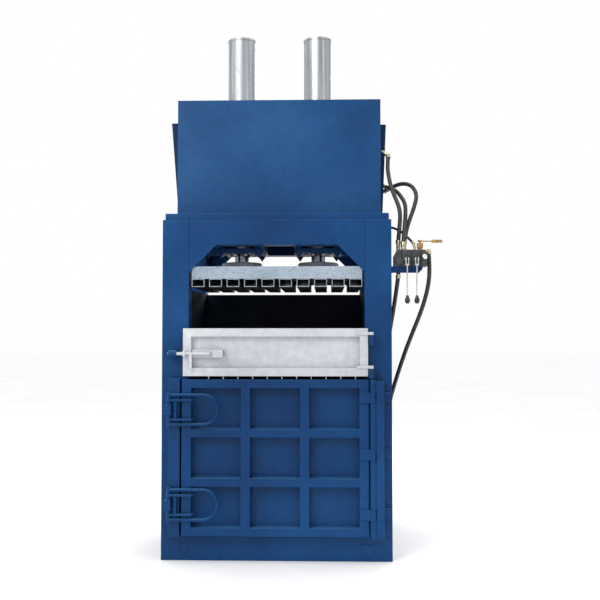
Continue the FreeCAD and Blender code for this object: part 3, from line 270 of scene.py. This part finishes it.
metalFinish = {
    "barrelSilver": {"dark": (0.22, 0.23, 0.25), "light": (0.58, 0.60, 0.63), "rough": (0.30, 0.46),
                     "stretch": (1, 1, 0.02), "grain": 34.0, "metallic": 0.9},
    "rodChrome": {"dark": (0.09, 0.10, 0.12), "light": (0.24, 0.26, 0.30), "rough": (0.12, 0.22),
                  "stretch": (1, 1, 0.1), "grain": 60.0, "metallic": 1.0},
    "zincSteel": {"dark": (0.38, 0.39, 0.40), "light": (0.62, 0.63, 0.64), "rough": (0.30, 0.48),
                  "stretch": (1, 1, 1), "grain": 90.0, "metallic": 1.0},
    "leverSteel": {"dark": (0.45, 0.46, 0.47), "light": (0.75, 0.76, 0.77), "rough": (0.18, 0.34),
                   "stretch": (1, 1, 0.1), "grain": 90.0, "metallic": 1.0},
    "polishedCap": {"dark": (0.60, 0.60, 0.60), "light": (0.85, 0.85, 0.85), "rough": (0.10, 0.20),
                    "stretch": (1, 1, 1), "grain": 60.0, "metallic": 1.0},
    "valveBrass": {"dark": (0.22, 0.13, 0.06), "light": (0.52, 0.36, 0.16), "rough": (0.26, 0.46),
                   "stretch": (1, 1, 1), "grain": 70.0, "metallic": 1.0},
    "yellowZinc": {"dark": (0.34, 0.30, 0.18), "light": (0.66, 0.60, 0.42), "rough": (0.22, 0.40),
                   "stretch": (1, 1, 1), "grain": 80.0, "metallic": 1.0},
}
streakDepth = 0.0002
stainGrain = 14.0


def brushedMetal(name):
    setup = metalFinish[name]
    material, tree, shader = newMaterial(name)
    streaks = noise(tree, surfacePoint(tree, setup["stretch"]), setup["grain"], 5.0, 0.6)
    tone = ramp(tree, streaks, [(0.32, setup["dark"]), (0.68, setup["light"])])
    tree.links.new(tone, shader.inputs["Base Color"])
    setRough(tree, shader, noise(tree, surfacePoint(tree), stainGrain, 6.0, 0.6), setup["rough"])
    shader.inputs["Metallic"].default_value = setup["metallic"]
    addBump(tree, shader, streaks, streakDepth)
    return material


platenFinish = {"tones": ((0.20, 0.26, 0.33), (0.34, 0.40, 0.46)), "rubbed": (0.10, 0.13, 0.17),
                "specks": (0.48, 0.54, 0.60), "rough": (0.42, 0.66), "bump": 0.0008}


def platenPaint():
    material, tree, shader = newMaterial("platenGrey")
    point = surfacePoint(tree)
    low, high = platenFinish["tones"]
    tone = ramp(tree, noise(tree, point, 3.0, 4.0, 0.6), [(0.3, low), (0.7, high)])
    rubbed = ramp(tree, noise(tree, surfacePoint(tree, (1, 1, 3)), 46.0, 8.0, 0.72),
                  [(0.52, grey(0.0)), (0.64, grey(0.75))])
    tone = mixColour(tree, rubbed, tone, platenFinish["rubbed"])
    specks = ramp(tree, noise(tree, point, 130.0, 4.0, 0.7), [(0.60, grey(0.0)), (0.68, grey(0.8))])
    tree.links.new(mixColour(tree, specks, tone, platenFinish["specks"]), shader.inputs["Base Color"])
    setRough(tree, shader, noise(tree, point, 20.0, 5.0), platenFinish["rough"])
    addBump(tree, shader, noise(tree, point, 90.0, 6.0, 0.7), platenFinish["bump"])
    return material


tubeFinish = {"ends": ((0.16, 0.19, 0.23), (0.42, 0.46, 0.50)),
              "sides": ((0.010, 0.014, 0.020), (0.040, 0.048, 0.060)), "rough": (0.45, 0.70), "bump": 0.0006}


def tubePaint():
    # pale end faces, dark sides
    material, tree, shader = newMaterial("tubeGrey")
    point = surfacePoint(tree)
    low, high = tubeFinish["ends"]
    pale = ramp(tree, noise(tree, point, 60.0, 5.0, 0.7), [(0.35, low), (0.65, high)])
    low, high = tubeFinish["sides"]
    dark = ramp(tree, noise(tree, point, 18.0, 5.0, 0.6), [(0.3, low), (0.7, high)])
    ends = facing(tree, "Y", 0.6, 0.9, bothWays=True)
    tree.links.new(mixColour(tree, ends, dark, pale), shader.inputs["Base Color"])
    setRough(tree, shader, noise(tree, point, 25.0, 5.0), tubeFinish["rough"])
    addBump(tree, shader, noise(tree, point, 90.0, 6.0, 0.7), tubeFinish["bump"])
    return material


rubberFinish = {"tones": ((0.006, 0.007, 0.008), (0.026, 0.028, 0.030)), "wrap": 180.0, "rough": (0.34, 0.52),
                "bump": 0.0003}


def hoseRubber():
    material, tree, shader = newMaterial("hoseRubber")
    point = surfacePoint(tree)
    low, high = rubberFinish["tones"]
    tone = ramp(tree, noise(tree, point, 30.0, 6.0, 0.6), [(0.35, low), (0.75, high)])
    tree.links.new(tone, shader.inputs["Base Color"])
    wrap = placeNode(tree, "ShaderNodeTexWave", Scale=rubberFinish["wrap"], Distortion=0.6)
    wrap.wave_type = "BANDS"
    wrap.bands_direction = "DIAGONAL"
    tree.links.new(point, wrap.inputs["Vector"])
    low, high = rubberFinish["rough"]
    rough = ramp(tree, wrap.outputs["Fac"], [(0.0, grey(low)), (1.0, grey(high))])
    tree.links.new(rough, shader.inputs["Roughness"])
    addBump(tree, shader, wrap.outputs["Fac"], rubberFinish["bump"])
    return material


castFinish = {"tones": ((0.022, 0.026, 0.028), (0.080, 0.088, 0.088)), "metallic": 0.55, "rough": (0.38, 0.62),
              "bump": 0.0006}


def castMetal():
    material, tree, shader = newMaterial("castGrey")
    point = surfacePoint(tree)
    low, high = castFinish["tones"]
    tone = ramp(tree, noise(tree, point, 24.0, 8.0, 0.7), [(0.3, low), (0.7, high)])
    tree.links.new(tone, shader.inputs["Base Color"])
    shader.inputs["Metallic"].default_value = castFinish["metallic"]
    setRough(tree, shader, noise(tree, point, 60.0, 4.0), castFinish["rough"])
    addBump(tree, shader, noise(tree, point, 260.0, 5.0, 0.7), castFinish["bump"])
    return material


mouldedFinish = {
    "knobBlack": {"tones": (0.010, 0.022), "rough": (0.14, 0.26), "bump": 0.0002},
    "fanBlack": {"tones": (0.016, 0.034), "rough": (0.42, 0.60), "bump": 0.0002},
}


def mouldedBlack(name):
    setup = mouldedFinish[name]
    material, tree, shader = newMaterial(name)
    point = surfacePoint(tree)
    low, high = setup["tones"]
    tone = ramp(tree, noise(tree, point, 40.0, 5.0), [(0.3, grey(low)), (0.7, grey(high))])
    tree.links.new(tone, shader.inputs["Base Color"])
    setRough(tree, shader, noise(tree, point, 70.0, 4.0), setup["rough"])
    addBump(tree, shader, noise(tree, point, 500.0, 2.0), setup["bump"])
    return material


def floorPaint():
    material, tree, shader = newMaterial("paleFloor")
    point = surfacePoint(tree)
    low, high = (tuple(c * share for c in floorSetup["colour"]) for share in floorSetup["mottle"])
    tone = ramp(tree, noise(tree, point, 0.8, 4.0), [(0.3, low), (0.7, high)])
    tree.links.new(tone, shader.inputs["Base Color"])
    setRough(tree, shader, noise(tree, point, 3.0, 4.0), floorSetup["rough"])
    return material


finish = {
    "blue_paint": enamel("enamelBlue"),
    "pale_grey_paint": enamel("doorWhite"),
    "motor_paint": enamel("motorBlue"),
    "platen_grey": platenPaint(),
    "silver_barrel": brushedMetal("barrelSilver"),
    "chromed_rod": brushedMetal("rodChrome"),
    "zinc_steel": brushedMetal("zincSteel"),
    "lever_steel": brushedMetal("leverSteel"),
    "polished_cap": brushedMetal("polishedCap"),
    "brass": brushedMetal("valveBrass"),
    "zinc_fitting": brushedMetal("yellowZinc"),
    "cast_body": castMetal(),
    "black_knob": mouldedBlack("knobBlack"),
    "fan_plastic": mouldedBlack("fanBlack"),
    "hose_rubber": hoseRubber(),
}
# near-black and darker copies of the enamel: painted shade
chamberShadePaint, shadedBluePaint = enamel("chamberBlue"), enamel("navyBlue")
specialFinish = {       # pieces given another paint than their slot's: painted shade on the chamber walls and floor, the hood side covers and the valve bracket, painted light on the hood panels
    "side_walls": chamberShadePaint, "rear_wall": chamberShadePaint, "floor_plate": chamberShadePaint,
    "platen_tubes": tubePaint(), "hood_panels": enamel("hoodBlue"),
    "hood_side_covers": shadedBluePaint, "valve_bracket": shadedBluePaint,
}
print("materials ready")


# floor
def makeFloor():
    bm = bmesh.new()
    bmesh.ops.create_circle(bm, cap_ends=True, segments=96, radius=floorSetup["radius"])
    for face in bm.faces:
        if face.normal.z < 0:
            face.normal_flip()
    floor = bpy.data.objects.new("paleFloor", meshFrom("paleFloor", bm))
    floor.data.materials.append(floorPaint())
    bpy.context.scene.collection.objects.link(floor)


makeFloor()


# hoses: the points of each route, in metres, as on the solid model
hoseSetup = {
    "lift_hose": {"radius": 0.013, "length": 0.612, "route": [
        (0.748, -0.361, 1.944), (0.754, -0.362, 2.016), (0.761, -0.354, 2.084), (0.759, -0.334, 2.145),
        (0.737, -0.295, 2.216), (0.713, -0.252, 2.290), (0.700, -0.208, 2.375), (0.696, -0.172, 2.440),
        (0.702, -0.150, 2.500)]},
    "right_press_hose": {"radius": 0.013, "length": 0.510, "route": [
        (0.704, -0.117, 2.312), (0.751, -0.158, 2.288), (0.777, -0.205, 2.244), (0.801, -0.249, 2.192),
        (0.800, -0.293, 2.128), (0.792, -0.334, 2.060), (0.782, -0.368, 1.990), (0.776, -0.390, 1.926)]},
    "left_press_hose": {"radius": 0.013, "length": 0.632, "route": [
        (0.700, -0.060, 2.306), (0.754, -0.090, 2.335), (0.814, -0.138, 2.337), (0.857, -0.193, 2.306),
        (0.876, -0.246, 2.242), (0.858, -0.281, 2.172), (0.834, -0.292, 2.107), (0.812, -0.308, 2.047),
        (0.797, -0.327, 1.992), (0.788, -0.343, 1.940)]},
    "drain_hose": {"radius": 0.008, "length": 0.544, "route": [
        (0.838, -0.348, 1.932), (0.812, -0.305, 1.968), (0.772, -0.250, 2.015), (0.727, -0.204, 2.043),
        (0.677, -0.162, 2.052), (0.619, -0.120, 2.050), (0.565, -0.093, 2.043), (0.495, -0.077, 2.028),
        (0.438, -0.077, 2.012)]},
    "pump_hose": {"radius": 0.013, "length": 1.827, "route": [
        (0.932, -0.380, 1.859), (0.939, -0.375, 1.768), (0.931, -0.358, 1.659), (0.904, -0.328, 1.549),
        (0.874, -0.296, 1.460), (0.838, -0.256, 1.364), (0.807, -0.217, 1.275), (0.777, -0.170, 1.177),
        (0.752, -0.114, 1.083), (0.734, -0.053, 1.007), (0.724, 0.036, 0.936), (0.724, 0.139, 0.896),
        (0.734, 0.248, 0.878), (0.744, 0.350, 0.872), (0.738, 0.455, 0.868), (0.699, 0.562, 0.858),
        (0.618, 0.648, 0.829), (0.536, 0.690, 0.793)]},
    "return_hose": {"radius": 0.013, "length": 1.703, "route": [
        (0.744, -0.376, 1.711), (0.733, -0.361, 1.626), (0.721, -0.329, 1.530), (0.708, -0.283, 1.438),
        (0.698, -0.229, 1.360), (0.694, -0.156, 1.280), (0.694, -0.081, 1.217), (0.700, 0.015, 1.157),
        (0.712, 0.104, 1.116), (0.728, 0.204, 1.085), (0.742, 0.304, 1.068), (0.743, 0.400, 1.063),
        (0.718, 0.494, 1.058), (0.652, 0.562, 1.035), (0.566, 0.592, 0.975), (0.510, 0.577, 0.886),
        (0.486, 0.552, 0.790), (0.484, 0.541, 0.700)]},
}


def camelName(node):
    first, *rest = node.split("_")
    return first + "".join(word.capitalize() for word in rest)


def makeHose(node, setup):
    curve = bpy.data.curves.new(camelName(node), "CURVE")
    curve.dimensions = "3D"
    curve.resolution_u = 12
    curve.bevel_depth = setup["radius"]
    curve.bevel_resolution = 6
    curve.use_fill_caps = True
    line = curve.splines.new("NURBS")
    line.points.add(len(setup["route"]) - 1)
    for point, place in zip(line.points, setup["route"]):
        point.co = (*place, 1)
    line.order_u = 3
    line.use_endpoint_u = True
    hose = addPiece(camelName(node), curve, "press", finish["hose_rubber"])
    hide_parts(node)


for node, setup in hoseSetup.items():
    makeHose(node, setup)
print("hoses ready")


# eased copies of the plates and tubes, with their edges rounded as after grinding and painting
easedEdges = {
    "base_beams": 0.003, "floor_plate": 0.0015, "columns": 0.004, "lintels": 0.003, "corner_gussets": 0.0015,
    "side_walls": 0.0015, "rear_wall": 0.0015, "wall_ribs": 0.002, "top_tray": 0.0025, "cylinder_beams": 0.003,
    "cylinder_mounts": 0.0015, "hood_panels": 0.0018, "hood_side_covers": 0.0018, "door_posts": 0.0025,
    "latch_lugs": 0.0015, "bolt_keeper": 0.0012, "feed_door_gudgeons": 0.0012, "valve_bracket": 0.0015,
    "oil_tank": 0.003, "tank_lid": 0.0015, "door_grid": 0.0022, "door_skin": 0.0012, "door_straps": 0.0015,
    "upper_claw": 0.0012, "lower_claw": 0.0012, "platen": 0.0015, "platen_tubes": 0.0015, "rod_flanges": 0.0010,
    "feed_door_frame": 0.0016, "feed_door_panel": 0.0010, "feed_hinge_straps": 0.0010, "bolt_guides": 0.0012,
    "slide_bolt": 0.0012, "valve_body": 0.0015, "ball_valve": 0.0015, "left_lever": 0.0008,
    "right_lever": 0.0008, "hinge_rod": 0.0010, "hinge_knuckles": 0.0010, "motor": 0.0008, "pump": 0.0020,
    "cylinder_heads": 0.0015, "cylinder_bolts": 0.0008,
}
# angles in degrees, join in metres
easeSetup = {"join": 2e-6, "flat": 1.0, "corner": 35.0, "smooth": 30.0, "segments": 2, "profile": 0.5}


def easeNode(node, width):
    bm = bmesh.new()
    bm.from_mesh(nodes[node].data)
    bmesh.ops.remove_doubles(bm, verts=bm.verts, dist=easeSetup["join"])
    flat = math.radians(easeSetup["flat"])
    bmesh.ops.dissolve_limit(bm, angle_limit=flat, verts=bm.verts, edges=bm.edges)
    corner = math.radians(easeSetup["corner"])
    edges = [e for e in bm.edges if len(e.link_faces) == 2 and e.calc_face_angle(0) > corner]
    bmesh.ops.bevel(bm, geom=edges, offset=width, offset_type="OFFSET", segments=easeSetup["segments"],
                    profile=easeSetup["profile"], affect="EDGES", clamp_overlap=False)
    # where edges run close, easing throws some corners outward: those come back to the solid's own box
    corners = [Vector(c) for c in nodes[node].bound_box]
    for axis in range(3):
        low, high = min(c[axis] for c in corners), max(c[axis] for c in corners)
        for vert in bm.verts:
            vert.co[axis] = min(max(vert.co[axis], low), high)
    name = camelName(node) + "Eased"
    slot = slotOf[node]
    piece = addPiece(name, meshFrom(name, bm, easeSetup["smooth"]), bodyOf[node], finish[slot])
    weighted = piece.modifiers.new("evenNormals", "WEIGHTED_NORMAL")
    weighted.keep_sharp = True
    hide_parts(node)
    return piece


eased = {node: easeNode(node, width) for node, width in easedEdges.items()}
for node in nodes:
    if node not in easedEdges:
        nodes[node].data.materials.clear()
        nodes[node].data.materials.append(finish[slotOf[node]])
for node, material in specialFinish.items():
    eased[node].data.materials[0] = material
print("edges eased")


# weld beads: rippled runs between two points, in metres
beadSetup = {"step": 0.0045, "sides": 8, "ripple": 0.16, "unevenness": 0.08, "wander": 0.0006, "smooth": 60.0}
seamSetup = {"x": 0.537, "y": 0.4405, "bottom": 1.916, "top": 2.064}      # column to lintel
cellInset = 0.001        # beads outside the stated room of a door cell
cells = [o["box_m"] for o in frame["record"]["physics"]["openings"] if o["name"].startswith("door_cell")]
beadRuns = {
    "frameWelds": {"body": "press", "slot": "blue_paint", "radius": 0.0042, "runs": []},
    "doorWelds": {"body": "lower_door", "slot": "blue_paint", "radius": 0.0038, "runs": []},
}
for x in (-seamSetup["x"], seamSetup["x"]):
    for y in (-seamSetup["y"], seamSetup["y"]):
        beadRuns["frameWelds"]["runs"].append(((x, y, seamSetup["bottom"]), (x, y, seamSetup["top"])))
for low, high in cells:
    x0, x1, deep = low[0] - cellInset, high[0] + cellInset, high[1] - cellInset
    z0, z1 = low[2] - cellInset, high[2] + cellInset
    beadRuns["doorWelds"]["runs"] += [((x0, deep, z0), (x1, deep, z0)), ((x0, deep, z0), (x0, deep, z1)),
                                      ((x1, deep, z0), (x1, deep, z1))]


def beadRun(bm, start, end, radius, chance):
    start, end = Vector(start), Vector(end)
    along = (end - start).normalized()
    across = along.orthogonal().normalized()
    up = along.cross(across)
    count = max(3, int((end - start).length / beadSetup["step"]))
    last = None
    for i in range(count + 1):
        taper = min(1.0, 0.25 + min(i, count - i) * 0.5)
        ripple = beadSetup["ripple"] if i % 2 else -beadSetup["ripple"]
        size = radius * taper * (1.0 + ripple + chance.uniform(-1, 1) * beadSetup["unevenness"])
        middle = start.lerp(end, i / count) + across * chance.uniform(-1, 1) * beadSetup["wander"]
        loop = []
        for k in range(beadSetup["sides"]):
            turn = 2 * math.pi * k / beadSetup["sides"]
            loop.append(bm.verts.new(middle + (across * math.cos(turn) + up * math.sin(turn)) * size))
        if last:
            for k in range(len(loop)):
                bm.faces.new((last[k], last[k - 1], loop[k - 1], loop[k]))
        last = loop


def makeBeads(name, setup):
    chance = random.Random(name)
    bm = bmesh.new()
    for start, end in setup["runs"]:
        beadRun(bm, start, end, setup["radius"], chance)
    bmesh.ops.recalc_face_normals(bm, faces=bm.faces)
    slot = setup["slot"]
    addPiece(name, meshFrom(name, bm, beadSetup["smooth"]), setup["body"], finish[slot])


for name, setup in beadRuns.items():
    makeBeads(name, setup)
print("welds ready")
